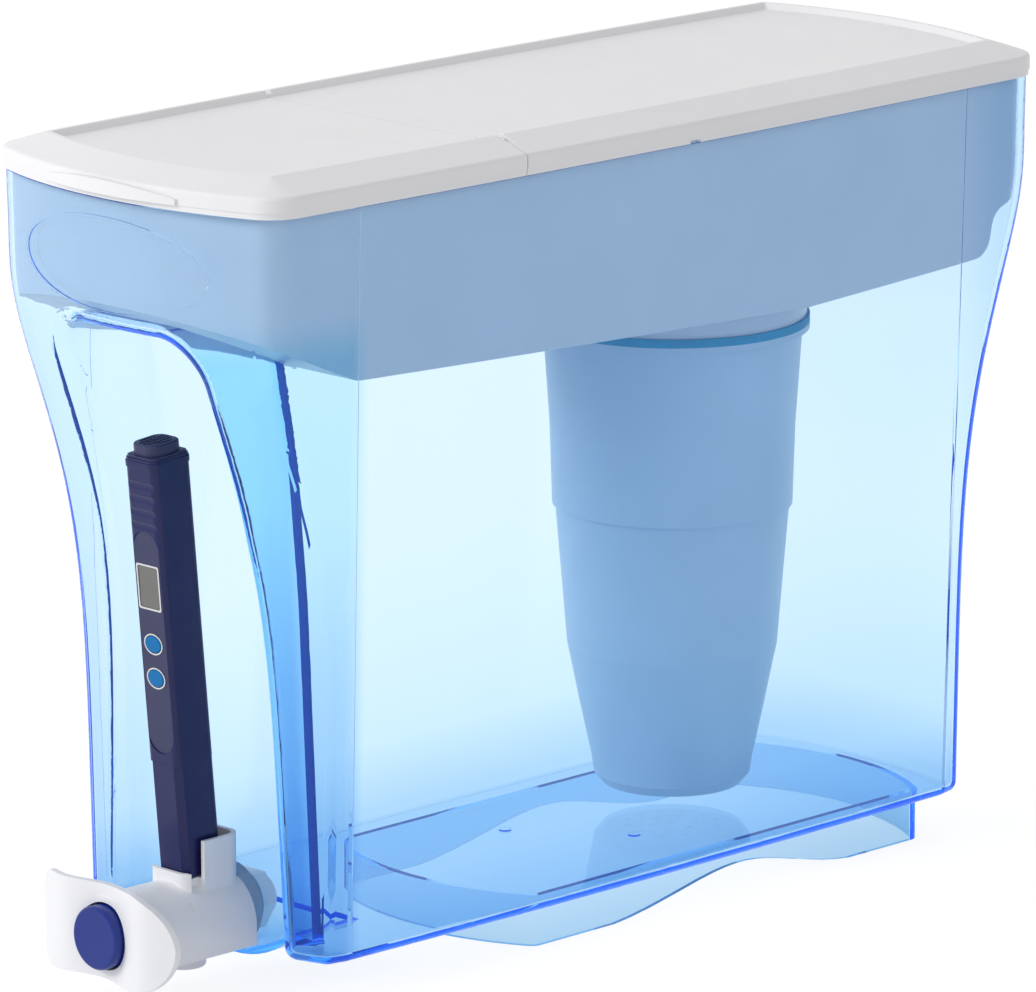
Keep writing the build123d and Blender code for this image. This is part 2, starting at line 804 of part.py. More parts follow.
def make_rear_lid(blank):
    flap, rear = knuckle_edges()
    back = block(-100, 100, seam_y + seam_gap / 2, 300, 0, 400)
    solid = blank & back
    solid -= block(-lid_half_width, lid_half_width, vent_y - vent_notch_width / 2,
                   vent_y + vent_notch_width / 2, lid_bottom_z - 1, lid_bottom_z + vent_notch_height)
    reach = sqrt(hinge_depth**2 + seam_gap**2) + swing_clearance
    solid -= block(-lid_half_width + 5, lid_half_width - 5, seam_y - 1, seam_y + reach, hinge_z, crest_z + 1)
    clear = knuckle_radius + knuckle_clearance
    solid -= hinge_band(flap[0] - swing_clearance, flap[1] + knuckle_gap, clear)
    solid += hinge_band(*rear, knuckle_radius)
    return solid - hinge_band(rear[0] - 1, rear[1] + 1, hinge_pin_radius)


def make_hinge_pins():
    flap, rear = knuckle_edges()
    return hinge_band(flap[0], rear[1], hinge_pin_radius)


# ---- Tap ----
def tap_arch(y0, y1):
    """Inverted-U bar along Y, rounded above, upright at the sides and flat below."""
    r = tap_arch_radius
    top = rod_y(r, y0, y1, tap_arch_z) & block(-r, r, y0, y1, tap_arch_z, tap_arch_z + r + 1)
    return top + block(-r, r, y0, y1, tap_flat_z, tap_arch_z)


def tap_mark():
    """Small slot in the shoulder of the tap."""
    half_length, half_width = tap_mark_length / 2, tap_mark_width / 2
    low = tap_arch_radius - tap_mark_depth
    slot = block(-half_length, half_length, -half_width, half_width, low, tap_arch_radius + 1)
    return Pos(0, -tap_mark_y, tap_arch_z) * Rot(0, tap_mark_angle, 0) * slot


def holder_ring():
    """Wall of the meter's holder before it is cut to height."""
    rear_y = -tap_rear_y
    depth = holder_front_y - tap_rear_y
    middle = Pos(0, rear_y - depth / 2)
    outer = middle * RectangleRounded(2 * holder_half_width, depth, holder_corner_radius)
    inner = middle * RectangleRounded(2 * (holder_half_width - holder_wall), depth - 2 * holder_wall,
                                      holder_corner_radius - holder_wall)
    return outer, inner


def make_tap_body():
    rear, front = -tap_rear_y, -collar_front_y
    body = tap_arch(front, rear)
    outer, inner = holder_ring()
    tower = raised(outer, tap_z + 4, holder_tall_z)
    tower -= block(-30, 30, -holder_front_y - 5, -holder_slot_start_y, holder_low_z, 80)
    for x0, x1 in ((-30, -holder_slot_inner), (holder_slot_inner, 30)):
        slot = block(x0, x1, -holder_slot_end_y, -holder_slot_start_y, tap_arch_z + 8, 80)
        tower -= slot - tap_arch(front, rear)
    body += tower
    floor = meter_frame * block(-12, 12, -30, 30, 0, 60)
    body -= raised(inner, tap_z + 4, holder_tall_z + 1) & floor
    body += rod_y(shank_radius, rear - 0.5, rear + shank_reach, tap_z)
    body -= rod_y(shank_bore, rear, rear + shank_reach + 1, tap_z)
    body -= rod_y(seat_bore, rear - seat_thickness - 1, rear + 1, tap_z)
    body -= rod_y(chamber_radius, -chamber_front_y, rear - seat_thickness, tap_z)
    body -= rod_y(stem_radius + stem_clearance, -guide_front_y - 1, -chamber_front_y + 1, tap_z)
    body -= rod_y(spring_bore_radius, front - 1, -guide_front_y, tap_z)
    body -= tap_mark()
    body -= rod_z(nozzle_spigot_radius, 0, tap_flat_z + nozzle_spigot_height, 0, -nozzle_y)
    return body - rod_z(nozzle_bore, 0, tap_z, 0, -nozzle_y)


def make_outlet_nozzle():
    nozzle = rod_z(nozzle_radius, nozzle_end_z, tap_flat_z, 0, -nozzle_y)
    nozzle = fillet(nozzle.edges().group_by(Axis.Z)[0], nozzle_round)
    nozzle += rod_z(nozzle_spigot_radius, tap_flat_z - 1, tap_flat_z + nozzle_spigot_height, 0, -nozzle_y)
    return nozzle - rod_z(nozzle_bore, 0, 60, 0, -nozzle_y)


def plate_outline():
    """Front view of the finger plate: squarish lobe on one side, round on the other."""
    w, h, r = plate_half_width, plate_half_height, plate_corner_radius
    turn = r * (1 - cos(radians(45)))
    left = [(-w + r, h), (-w, h - r), (-w, -h + r), (-w + r, -h)]
    top, bottom, tip = (w * 0.42, h), (w * 0.42, -h - 0.6), (w, -0.4)
    edges = [Line(top, left[0]),
             ThreePointArc(left[0], (-w + turn, h - turn), left[1]), Line(left[1], left[2]),
             ThreePointArc(left[2], (-w + turn, -h + turn), left[3]),
             ThreePointArc(left[3], (-w * 0.1, -h + 1.0), bottom),
             ThreePointArc(bottom, (w * 0.9, -h * 0.62), tip), ThreePointArc(tip, (w * 0.87, h * 0.57), top)]
    return make_face(edges)


def plate_line(offset_y):
    """Plan curve of the finger plate."""
    w = plate_half_width + 2
    shape = [(-w, plate_curl), (-w / 2, -plate_wave), (0, 0), (w / 2, -plate_wave), (w, plate_curl)]
    return Spline(*[(x, -plate_y + y + offset_y) for x, y in shape], tangents=[(1, -0.55), (1, 0.55)])


def make_finger_plate():
    near, far = plate_line(0), plate_line(-plate_thickness)
    ends = [Line(near @ 0, far @ 0), Line(near @ 1, far @ 1)]
    band = raised(make_face([near, far, *ends]), -10, 70)
    plate = band & along_y(Pos(0, plate_z) * plate_outline(), button_reach + 20)
    collar_end = -plate_y - plate_thickness - plate_collar_proud
    plate += rod_y(front_bore_radius + plate_collar_wall, collar_end, -collar_front_y, tap_z)
    return plate - rod_y(front_bore_radius, -plate_y - 12, -plate_y + 12, tap_z)


def make_tap_button():
    front = -button_reach
    button = rod_y(button_radius, front, front + button_length, tap_z)
    button = fillet(button.edges().group_by(Axis.Y)[0], button_round)
    inside = front + button_face
    button -= rod_y(button_radius - button_wall, inside, front + button_length + 1, tap_z)
    boss_end = -guide_front_y - button_travel - boss_gap
    button += rod_y(stem_radius + boss_wall, inside - overlap, boss_end, tap_z)
    return button - rod_y(stem_radius, stem_front_y, boss_end + 1, tap_z)


def make_valve_stem():
    head_y = -seat_y + valve_seal_thickness
    rear = head_y + stem_head_thickness
    stem = rod_y(stem_radius, stem_front_y, rear, tap_z)
    return stem + rod_y(stem_head_radius, head_y, rear, tap_z)


def make_valve_seal():
    seal = rod_y(valve_seal_radius, -seat_y, -seat_y + valve_seal_thickness, tap_z)
    return seal - rod_y(stem_radius, -seat_y - 1, -seat_y + valve_seal_thickness + 1, tap_z)


def make_stem_seal():
    low = -chamber_front_y
    seal = rod_y(stem_seal_radius, low, low + stem_seal_thickness, tap_z)
    return seal - rod_y(stem_radius + stem_clearance, low - 1, low + stem_seal_thickness + 1, tap_z)


def make_valve_spring():
    start = -button_reach + button_face + spring_wire / 2
    length = -guide_front_y - spring_wire / 2 - start
    path = Helix(length / spring_turns, length, spring_radius)
    coil = sweep(Plane(path @ 0, z_dir=path % 0) * Circle(spring_wire / 2), path)
    return Pos(0, start, tap_z) * Rot(-90, 0, 0) * coil


def make_tank_seal_outer():
    ring = rod_y(seal_radius, -tap_rear_y, -niche_back, tap_z)
    return ring - rod_y(shank_radius + seal_clearance, -tap_rear_y - 1, -niche_back + 1, tap_z)


def make_tank_seal_inner():
    start = -niche_back + wall
    end = start + inner_seal_thickness
    ring = rod_y(inner_seal_radius, start, end, tap_z)
    return ring - rod_y(shank_radius + seal_clearance, start - 1, end + 1, tap_z)


def make_tap_nut():
    start = -niche_back + wall + inner_seal_thickness
    hexagon = Plane.XZ * RegularPolygon(nut_flats / 2, 6, major_radius=False)
    nut = Pos(0, start, tap_z) * extrude(hexagon, amount=nut_thickness, dir=(0, 1, 0))
    return nut - rod_y(shank_radius + nut_clearance, start - 1, start + nut_thickness + 1, tap_z)


# ---- Meter, upright in its own frame: face at -Y, foot at zero ----
def meter_bar(inset, z0, z1):
    """Bar of the meter's section, moved inward."""
    corner = max(meter_corner_radius - inset, 0.6)
    return rounded_bar(meter_width - 2 * inset, meter_depth - 2 * inset, corner, z0, z1)


def face_slot(width, z0, z1, depth0, depth1):
    """Oblong plug in the face, between two depths behind it."""
    face_y = -meter_depth / 2
    shape = Pos(0, (z0 + z1) / 2) * SlotOverall(z1 - z0, width, rotation=90)
    return Pos(0, face_y + depth0, 0) * extrude(Plane.XZ * shape, amount=depth1 - depth0, dir=(0, 1, 0))


def face_rectangle(width, height, at_z, radius, depth0, depth1):
    """Rounded rectangular plug in the face."""
    shape = Pos(0, at_z) * RectangleRounded(width, height, radius)
    return Pos(0, depth0 - meter_depth / 2, 0) * extrude(Plane.XZ * shape, amount=depth1 - depth0, dir=(0, 1, 0))


def face_oval(grow, at_z, depth0, depth1):
    """Oval plug in the face, for the keys."""
    shape = Pos(0, at_z) * Ellipse(key_half_width + grow, key_half_height + grow)
    return Pos(0, depth0 - meter_depth / 2, 0) * extrude(Plane.XZ * shape, amount=depth1 - depth0, dir=(0, 1, 0))


def display_opening(grow, depth0, depth1):
    """The display's window, grown all round."""
    return face_rectangle(display_width + 2 * grow, display_height + 2 * grow, display_centre, 0.8, depth0, depth1)


def make_meter_body():
    low = probe_cap_length
    face_y = -meter_depth / 2
    body = meter_bar(0, low, meter_shoulder)
    bead_top = meter_shoulder - bead_top_gap
    bead = meter_bar(-bead_proud, bead_top - bead_height, bead_top)
    levels = bead.edges().group_by(Axis.Z)
    body += fillet(levels[0] + levels[-1], bead_round)
    for number in range(grip_groove_count):
        z = grip_groove_start + number * grip_groove_pitch
        axis_y = face_y - grip_groove_radius + grip_groove_depth
        body -= rod_x(grip_groove_radius, -meter_width, meter_width, axis_y, z)
    room = meter_bar(meter_wall, low + meter_wall, meter_shoulder + 1)
    body -= room & block(-20, 20, face_y + meter_face_wall, 20, 0, 200)
    body -= meter_bar(meter_wall, meter_shoulder - battery_spigot - spigot_end_gap, meter_shoulder + 1)
    neck_hole = (probe_neck_width + 2 * meter_fit, probe_neck_depth + 2 * meter_fit)
    body -= rounded_bar(*neck_hole, probe_neck_corner, 0, low + 10)
    floor_depth = panel_sink + face_panel_thickness
    body -= face_slot(panel_width + 2 * panel_fit, panel_low - panel_fit, panel_high + panel_fit, -1, floor_depth)
    body -= display_opening(panel_fit, -1, meter_face_wall + 1)
    for at_z in (power_button_at, hold_button_at):
        body -= face_oval(key_fit, at_z, -1, meter_face_wall + 1)
    return body


def make_meter_face_panel():
    panel = face_slot(panel_width, panel_low, panel_high, panel_sink, panel_sink + face_panel_thickness)
    panel -= display_opening(display_frame_line, -1, 3)
    for at_z in (power_button_at, hold_button_at):
        panel -= face_oval(key_ring_line + key_fit, at_z, -1, 3)
    return panel


def make_display_frame():
    depth1 = panel_sink + face_panel_thickness
    frame = display_opening(display_frame_line, trim_sink, depth1)
    return frame - display_opening(0, -1, 3)


def make_meter_display():
    return display_opening(0, display_sink, board_depth)


def make_meter_key(at_z):
    inside = key_depth
    key = face_oval(0, at_z, panel_sink - key_proud, inside)
    key = fillet(key.edges().group_by(Axis.Y)[0], key_round)
    return key + face_oval(key_flange, at_z, inside - key_flange_thickness, inside)


def make_button_rings():
    rings = None
    for at_z in (power_button_at, hold_button_at):
        ring = face_oval(key_ring_line + key_fit, at_z, trim_sink, panel_sink + face_panel_thickness)
        ring -= face_oval(key_fit, at_z, -2, 3)
        rings = ring if rings is None else rings + ring
    return rings


def make_battery_cap():
    low, top = meter_shoulder - battery_spigot, meter_shoulder + battery_cap_height
    inset = meter_wall + meter_fit
    cap = meter_bar(inset, low, meter_shoulder)
    cap -= meter_bar(inset + battery_spigot_wall, low - 1, meter_shoulder)
    cap += meter_bar(battery_collar_inset, meter_shoulder, meter_shoulder + battery_collar_height)
    width, depth = meter_width - 2 * battery_cap_inset, meter_depth - 2 * battery_cap_inset
    head = rounded_bar(width, depth, battery_cap_corner, meter_shoulder, top)
    cap += fillet(head.edges().group_by(Axis.Z)[-1], battery_cap_round)
    oval = Ellipse(width / 2 - cap_groove_margin, depth / 2 - cap_groove_margin)
    oval = raised(oval, top - cap_groove_depth, top + 1)
    pitch = (width - 2 * cap_groove_margin) / cap_groove_count
    for number in range(cap_groove_count):
        x = (number - (cap_groove_count - 1) / 2) * pitch
        cap -= oval & block(x - pitch / 4, x + pitch / 4, -depth, depth, low, top + 2)
    return cap


def make_probe_neck():
    low = probe_cap_length - plug_length
    plug = meter_bar(meter_wall + meter_fit, low, probe_cap_length)
    top = probe_cap_length + probe_neck_root
    neck = plug + rounded_bar(probe_neck_width, probe_neck_depth, probe_neck_corner, probe_neck_end, top)
    for s in (-1, 1):
        neck -= rod_z(pin_radius, pin_end, probe_neck_end + 6, 0, s * pin_spacing / 2)
    return neck


def make_probe_pins():
    pins = [rod_z(pin_radius, pin_end, probe_neck_end + 6, 0, s * pin_spacing / 2) for s in (-1, 1)]
    return pins[0] + pins[1]


def make_probe_cap():
    gap = probe_cap_gap
    cap = meter_bar(gap, 0, probe_cap_length - gap)
    cap = chamfer(cap.edges().group_by(Axis.Z)[0], probe_cap_edge)
    edge_x, edge_y = meter_width / 2 - gap, gap - meter_depth / 2
    half = probe_cap_chamfer / sqrt(2)
    for s in (-1, 1):
        corner = Pos(s * edge_x, edge_y, 0) * Rot(0, 0, 45)
        cap -= corner * block(-half, half, -half, half, -1, probe_cap_length + 1)
    return cap - meter_bar(meter_wall, probe_cap_floor, probe_cap_length + 1)


def make_circuit_board():
    y0 = board_depth - meter_depth / 2
    return block(-board_width / 2, board_width / 2, y0, y0 + board_thickness, board_low, board_high)


def make_button_cells():
    top = meter_shoulder - battery_spigot - spigot_end_gap - cell_gap
    y = meter_depth / 2 - meter_wall - cell_radius - cell_gap
    middle = top - cell_thickness
    upper = rod_z(cell_radius, middle, top, 0, y)
    return upper + rod_z(cell_radius, middle - cell_gap - cell_thickness, middle - cell_gap, 0, y)


def in_meter_frame(solid):
    """Lean a meter piece and stand it in the holder."""
    return meter_frame * solid


# ---- Write every sub-part ----
def write(name, shape):
    """Write one sub-part, moved so that the whole object is centred."""
    placed = Pos(0, row_shift, 0) * shape
    export_step(placed, os.path.join("parts", name + ".step"))


def main():
    os.makedirs("parts", exist_ok=True)
    write("tank", make_tank())
    write("reservoir", make_reservoir())
    blank = lid_blank()
    write("fill_flap", make_fill_flap(blank))
    write("rear_lid", make_rear_lid(blank))
    write("hinge_pins", make_hinge_pins())
    write("filter_gasket", make_filter_gasket())
    write("filter_sleeve", make_filter_sleeve())
    write("filter_shell", make_filter_shell())
    write("filter_inlet_cap", make_inlet_cap())
    write("coarse_screen", make_coarse_screen())
    write("foam_distributor", make_foam_distributor())
    write("carbon_bed", make_carbon_bed())
    write("resin_bed", make_resin_bed())
    write("fine_membrane", make_fine_membrane())
    write("tap_body", make_tap_body())
    write("finger_plate", make_finger_plate())
    write("tap_button", make_tap_button())
    write("outlet_nozzle", make_outlet_nozzle())
    write("valve_stem", make_valve_stem())
    write("valve_seal", make_valve_seal())
    write("stem_seal", make_stem_seal())
    write("valve_spring", make_valve_spring())
    write("tank_seal_outer", make_tank_seal_outer())
    write("tank_seal_inner", make_tank_seal_inner())
    write("tap_nut", make_tap_nut())
    write("meter_body", in_meter_frame(make_meter_body()))
    write("meter_face_panel", in_meter_frame(make_meter_face_panel()))
    write("display_frame", in_meter_frame(make_display_frame()))
    write("meter_display", in_meter_frame(make_meter_display()))
    write("meter_power_button", in_meter_frame(make_meter_key(power_button_at)))
    write("meter_hold_button", in_meter_frame(make_meter_key(hold_button_at)))
    write("button_rings", in_meter_frame(make_button_rings()))
    write("battery_cap", in_meter_frame(make_battery_cap()))
    write("probe_neck", in_meter_frame(make_probe_neck()))
    write("probe_pins", in_meter_frame(make_probe_pins()))
    write("probe_cap", in_meter_frame(make_probe_cap()))
    write("circuit_board", in_meter_frame(make_circuit_board()))
    write("button_cells", in_meter_frame(make_button_cells()))


main()
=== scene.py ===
from math import cos, radians, sin

import bpy
from mathutils import Matrix, Vector

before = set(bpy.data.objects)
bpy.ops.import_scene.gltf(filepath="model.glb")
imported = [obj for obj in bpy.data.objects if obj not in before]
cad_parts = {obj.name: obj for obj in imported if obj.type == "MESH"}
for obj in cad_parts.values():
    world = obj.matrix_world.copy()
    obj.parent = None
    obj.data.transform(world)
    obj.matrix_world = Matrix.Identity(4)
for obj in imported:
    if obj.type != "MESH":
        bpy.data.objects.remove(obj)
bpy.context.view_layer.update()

# ---- Camera: metres and degrees, lens and sensor in millimetres ----
view_azimuth = 45.398
view_elevation = 13.455
view_roll = -0.137
view_distance = 2.8399
view_target = Vector((0.0, -0.0022, 0.1411))
view_lens = 289.35
view_sensor = 36
view_reach = 50

# ---- Light: lamps in watts and metres, the surround as a share of full white ----
sky_strength = 0.58
sky_shown = 1.0
key_strength = 56.0
key_size = 1.8
key_place = Vector((-1.45, -2.7, 1.85))
side_strength = 1.6
side_size = 1.4
side_place = Vector((1.9, -1.7, 1.1))

# ---- Floor, in metres ----
floor_size = 8
floor_drop = 0.0002
floor_color = (0.93, 0.93, 0.94)
floor_glow = 1.2
floor_glow_share = 0.72

# ---- Tank tints, the last of them painted shade: (height in metres, colour) from the ground up ----
wall_tints = [(0.0, (0.48, 0.68, 0.83)), (0.022, (0.63, 0.79, 0.92)), (0.045, (0.86, 0.94, 0.985)),
              (0.11, (0.96, 0.985, 1.0)), (0.271, (0.98, 0.99, 1.0))]
leg_tints = [(0.0, (0.52, 0.68, 0.88)), (0.11, (0.56, 0.75, 0.91)),
             (0.17, (0.70, 0.90, 0.97)), (0.271, (0.76, 0.94, 0.98))]
# Painted shade: the rear end of the walls is made darker, standing in for the shading on its angled wall.
rear_painted_shade = [(0.0, (0.90, 0.94, 0.98)), (0.271, (0.84, 0.91, 0.965))]
far_leg_share = 0.25

# ---- Where a tint fades in or out: (start, end) in metres ----
leg_side = (0.026, 0.031)
leg_front = (-0.141, -0.134)
leg_top = (0.222, 0.236)
# Where the painted shade of the rear end fades in
rear_shade_fade = (0.148, 0.172)

# ---- Clear plastic: tint where a wall is seen at a slant, depth colour and a painted glow inside ----
edge_tint = (0.22, 0.50, 0.95)
edge_blend = 0.35
edge_start = 0.45
clear_ior = 1.24
clear_roughness = (0.0072, 0.018)
depth_color = (0.0, 0.66, 0.94)
depth_density = 45
# Painted glow: the clear walls give off light of their own.
painted_glow_color = (0.05, 0.2, 1.0)
painted_glow_strength = 14
wave_scale = 16
wave_depth = 0.00003

# ---- Textures: the band of values that a noise fills, and the band where one shade turns to another ----
noise_band = (0.3, 0.7)
shade_band = (0.35, 0.65)
noise_roughness = 0.55

# ---- Moulded plastic: scales in cells per metre, depths in metres, as in the groups below ----
flow_scale = 22
flow_depth = 0.00002
grain_scale = 1200
grain_depth = 0.0000004
gloss_scale = grain_scale / 9
gloss_spread = 0.12
coat_roughness = 0.12

# ---- Rubber ----
bloom_scale = 420
bloom_depth = 0.000006
bloom_dark = 0.86
dust_scale = 4200
dust_depth = 0.000002
rubber_roughness = (0.5, 0.68)
rubber_shine = 0.25

# ---- Drawn metal ----
drawn_scale = 900
drawn_depth = 0.000008
drawn_dark = 0.9
drawn_spread = 0.3

# ---- Beds of grains, foam and mesh ----
carbon_scale = 700
carbon_roughness = 0.6
resin_scale = 1300
resin_roughness = 0.35
bed_depth = 0.0004
foam_scale = 600
mesh_scale = 1500
weave_depth = 0.0002
# Painted shade: the holes of a mesh or foam are darker, standing in for the shade inside them.
hole_painted_shade = 0.55
weave_roughness = 0.8
weave_gap = 0.3

# ---- Display of the meter ----
haze_scale = 160
haze_dark = 0.9
dot_scale = 3000
dot_depth = 0.000004
display_roughness = (0.22, 0.3)
window_coat = 0.8
window_roughness = 0.05

# ---- Colours of the opaque pieces ----
powder_blue = (0.48, 0.595, 0.72)
lid_white = (0.865, 0.865, 0.885)
tap_white = (0.90, 0.90, 0.92)
filter_blue = (0.375, 0.565, 0.755)
teal = (0.0, 0.29, 0.52)
washer_grey = (0.38, 0.52, 0.68)
meter_navy = (0.010, 0.014, 0.095)
button_navy = (0.006, 0.026, 0.24)
slate = (0.026, 0.030, 0.100)
key_blue = (0.0, 0.17, 0.46)
display_grey = (0.118, 0.115, 0.108)
board_green = (0.012, 0.11, 0.04)
foam_white = (0.8, 0.83, 0.88)
mesh_grey = (0.72, 0.75, 0.78)
silver = (0.72, 0.73, 0.76)
steel = (0.66, 0.67, 0.7)
carbon_shades = (0.008, 0.008, 0.009), (0.05, 0.05, 0.055)
resin_shades = (0.35, 0.18, 0.04), (0.75, 0.48, 0.16)


# ---- Node helpers ----
def new_material(name):
    """Node material with only its shader and output."""
    material = bpy.data.materials.new(name)
    material.use_nodes = True
    nodes, links = material.node_tree.nodes, material.node_tree.links
    nodes.clear()
    out = nodes.new("ShaderNodeOutputMaterial")
    shader = nodes.new("ShaderNodeBsdfPrincipled")
    links.new(shader.outputs["BSDF"], out.inputs["Surface"])
    return material, nodes, links, shader


def noise(nodes, links, scale, detail):
    """Noise texture on object coordinates. Scale is in cells per metre."""
    place = nodes.new("ShaderNodeTexCoord")
    texture = nodes.new("ShaderNodeTexNoise")
    texture.inputs["Scale"].default_value = scale
    texture.inputs["Detail"].default_value = detail
    texture.inputs["Roughness"].default_value = noise_roughness
    links.new(place.outputs["Object"], texture.inputs["Vector"])
    return texture.outputs["Fac"]


def cells(nodes, links, scale):
    """Cell texture node on object coordinates."""
    place = nodes.new("ShaderNodeTexCoord")
    texture = nodes.new("ShaderNodeTexVoronoi")
    texture.inputs["Scale"].default_value = scale
    links.new(place.outputs["Object"], texture.inputs["Vector"])
    return texture


def remap(nodes, links, value, low, high, start=noise_band[0], end=noise_band[1]):
    """Map the values from start to end to a range."""
    node = nodes.new("ShaderNodeMapRange")
    node.inputs["From Min"].default_value = start
    node.inputs["From Max"].default_value = end
    node.inputs["To Min"].default_value = low
    node.inputs["To Max"].default_value = high
    links.new(value, node.inputs["Value"])
    return node.outputs["Result"]


def shade(nodes, links, factor, dark, light):
    """Colour between two shades."""
    ramp = nodes.new("ShaderNodeValToRGB")
    for element, color, position in zip(ramp.color_ramp.elements, (dark, light), shade_band):
        element.color = (*color, 1)
        element.position = position
    links.new(factor, ramp.inputs["Fac"])
    return ramp.outputs["Color"]


def ramp_of(nodes, links, value, stops):
    """Colour from (value, colour) pairs, the first at zero."""
    top = stops[-1][0]
    ramp = nodes.new("ShaderNodeValToRGB")
    elements = ramp.color_ramp.elements
    for level, color in stops[1:-1]:
        elements.new(level / top)
    for element, (level, color) in zip(elements, stops):
        element.position = level / top
        element.color = (*color, 1)
    links.new(remap(nodes, links, value, 0, 1, 0, top), ramp.inputs["Fac"])
    return ramp.outputs["Color"]


def relief(nodes, links, shader, heights):
    """Chain of bumps: (height socket, depth in metres) pairs."""
    normal = None
    for height, depth in heights:
        bump = nodes.new("ShaderNodeBump")
        bump.inputs["Distance"].default_value = depth
        links.new(height, bump.inputs["Height"])
        if normal:
            links.new(normal, bump.inputs["Normal"])
        normal = bump.outputs["Normal"]
    links.new(normal, shader.inputs["Normal"])


def combine(nodes, links, operation, *values):
    """Arithmetic on sockets."""
    node = nodes.new("ShaderNodeMath")
    node.operation = operation
    for socket, value in zip(node.inputs, values):
        links.new(value, socket)
    return node.outputs[0]


def mix_color(nodes, links, factor, first, second, blend="MIX"):
    """Blend of two colour sockets by a factor socket."""
    node = nodes.new("ShaderNodeMix")
    node.data_type = "RGBA"
    node.blend_type = blend
    links.new(factor, node.inputs["Factor"])
    links.new(first, node.inputs["A"])
    links.new(second, node.inputs["B"])
    return node.outputs["Result"]


def multiply_color(nodes, links, factor, first, second):
    """First colour, multiplied by the second as far as the factor says."""
    return mix_color(nodes, links, factor, first, second, "MULTIPLY")


def mix_shader(nodes, links, factor, first, second):
    """Blend of two shader sockets by a factor socket."""
    node = nodes.new("ShaderNodeMixShader")
    for socket, value in zip(node.inputs, (factor, first, second)):
        links.new(value, socket)
    return node.outputs[0]


def glow_of(nodes, kind, color, strength):
    """Output of a shader node that gives off light."""
    node = nodes.new(kind)
    node.inputs["Color"].default_value = (*color, 1)
    node.inputs["Strength"].default_value = strength
    return node.outputs[0]


def scaled(color, factor):
    """Colour made darker or lighter."""
    return tuple(min(c * factor, 1) for c in color)


# ---- Clear plastic of the tank ----
def tank_tint(nodes, links):
    """Tint of the tank's walls: deeper low down and in the legs beside the niche, with painted shade
    darkening the rear end.
    """
    place = nodes.new("ShaderNodeTexCoord")
    split = nodes.new("ShaderNodeSeparateXYZ")
    links.new(place.outputs["Object"], split.inputs["Vector"])
    x, y, z = (split.outputs[axis] for axis in "XYZ")
    walls, legs, rear = (ramp_of(nodes, links, z, tints) for tints in (wall_tints, leg_tints, rear_painted_shade))
    near_leg = remap(nodes, links, x, 0, 1, *leg_side)
    far_leg = remap(nodes, links, x, far_leg_share, 0, -leg_side[1], -leg_side[0])
    beside = combine(nodes, links, "ADD", near_leg, far_leg)
    ahead = remap(nodes, links, y, 1, 0, *leg_front)
    under = remap(nodes, links, z, 1, 0, *leg_top)
    in_legs = combine(nodes, links, "MULTIPLY", combine(nodes, links, "MULTIPLY", beside, ahead), under)
    # Painted shade: the walls darken towards the rear end.
    in_rear_shade = remap(nodes, links, y, 0, 1, *rear_shade_fade)
    return multiply_color(nodes, links, in_rear_shade, multiply_color(nodes, links, in_legs, walls, legs), rear)


def depth_and_painted_glow(nodes, links):
    """Colour that builds up with depth, and a painted glow inside the walls that stands in for light
    running in them and coming out at edges.
    """
    depth = nodes.new("ShaderNodeVolumeAbsorption")
    depth.inputs["Color"].default_value = (*depth_color, 1)
    depth.inputs["Density"].default_value = depth_density
    both = nodes.new("ShaderNodeAddShader")
    links.new(depth.outputs["Volume"], both.inputs[0])
    # Painted glow inside the walls.
    links.new(glow_of(nodes, "ShaderNodeEmission", painted_glow_color, painted_glow_strength), both.inputs[1])
    return both.outputs["Shader"]


def clear_plastic(name):
    """Clear moulded plastic with faint flow waves."""
    material, nodes, links, shader = new_material(name)
    slant = nodes.new("ShaderNodeLayerWeight")
    slant.inputs["Blend"].default_value = edge_blend
    edge = nodes.new("ShaderNodeRGB")
    edge.outputs[0].default_value = (*edge_tint, 1)
    at_edge = remap(nodes, links, slant.outputs["Facing"], 0, 1, edge_start, 1)
    color = mix_color(nodes, links, at_edge, tank_tint(nodes, links), edge.outputs[0])
    links.new(color, shader.inputs["Base Color"])
    shader.inputs["Transmission Weight"].default_value = 1
    shader.inputs["IOR"].default_value = clear_ior
    waves = noise(nodes, links, wave_scale, detail=2)
    links.new(remap(nodes, links, waves, *clear_roughness), shader.inputs["Roughness"])
    relief(nodes, links, shader, [(waves, wave_depth)])
    links.new(depth_and_painted_glow(nodes, links), nodes["Material Output"].inputs["Volume"])
    return material


# ---- Opaque materials ----
def moulded(name, color, roughness, spread=0.05, coat=0.0, shine=0.5):
    """Moulded plastic: slow flow of shade, fine grain and an uneven gloss."""
    material, nodes, links, shader = new_material(name)
    flow = noise(nodes, links, flow_scale, detail=3)
    grain = noise(nodes, links, grain_scale, detail=2)
    gloss = noise(nodes, links, gloss_scale, detail=4)
    uneven = remap(nodes, links, gloss, roughness * (1 - gloss_spread), roughness * (1 + gloss_spread))
    links.new(shade(nodes, links, flow, scaled(color, 1 - spread), color), shader.inputs["Base Color"])
    links.new(uneven, shader.inputs["Roughness"])
    relief(nodes, links, shader, [(flow, flow_depth), (grain, grain_depth)])
    shader.inputs["Specular IOR Level"].default_value = shine
    shader.inputs["Coat Weight"].default_value = coat
    shader.inputs["Coat Roughness"].default_value = coat_roughness
    return material


def rubber(name, color):
    """Soft rubber: matt, with a dusty bloom."""
    material, nodes, links, shader = new_material(name)
    bloom = noise(nodes, links, bloom_scale, detail=5)
    dust = noise(nodes, links, dust_scale, detail=2)
    links.new(shade(nodes, links, bloom, scaled(color, bloom_dark), color), shader.inputs["Base Color"])
    links.new(remap(nodes, links, dust, *rubber_roughness), shader.inputs["Roughness"])
    shader.inputs["Specular IOR Level"].default_value = rubber_shine
    relief(nodes, links, shader, [(bloom, bloom_depth), (dust, dust_depth)])
    return material


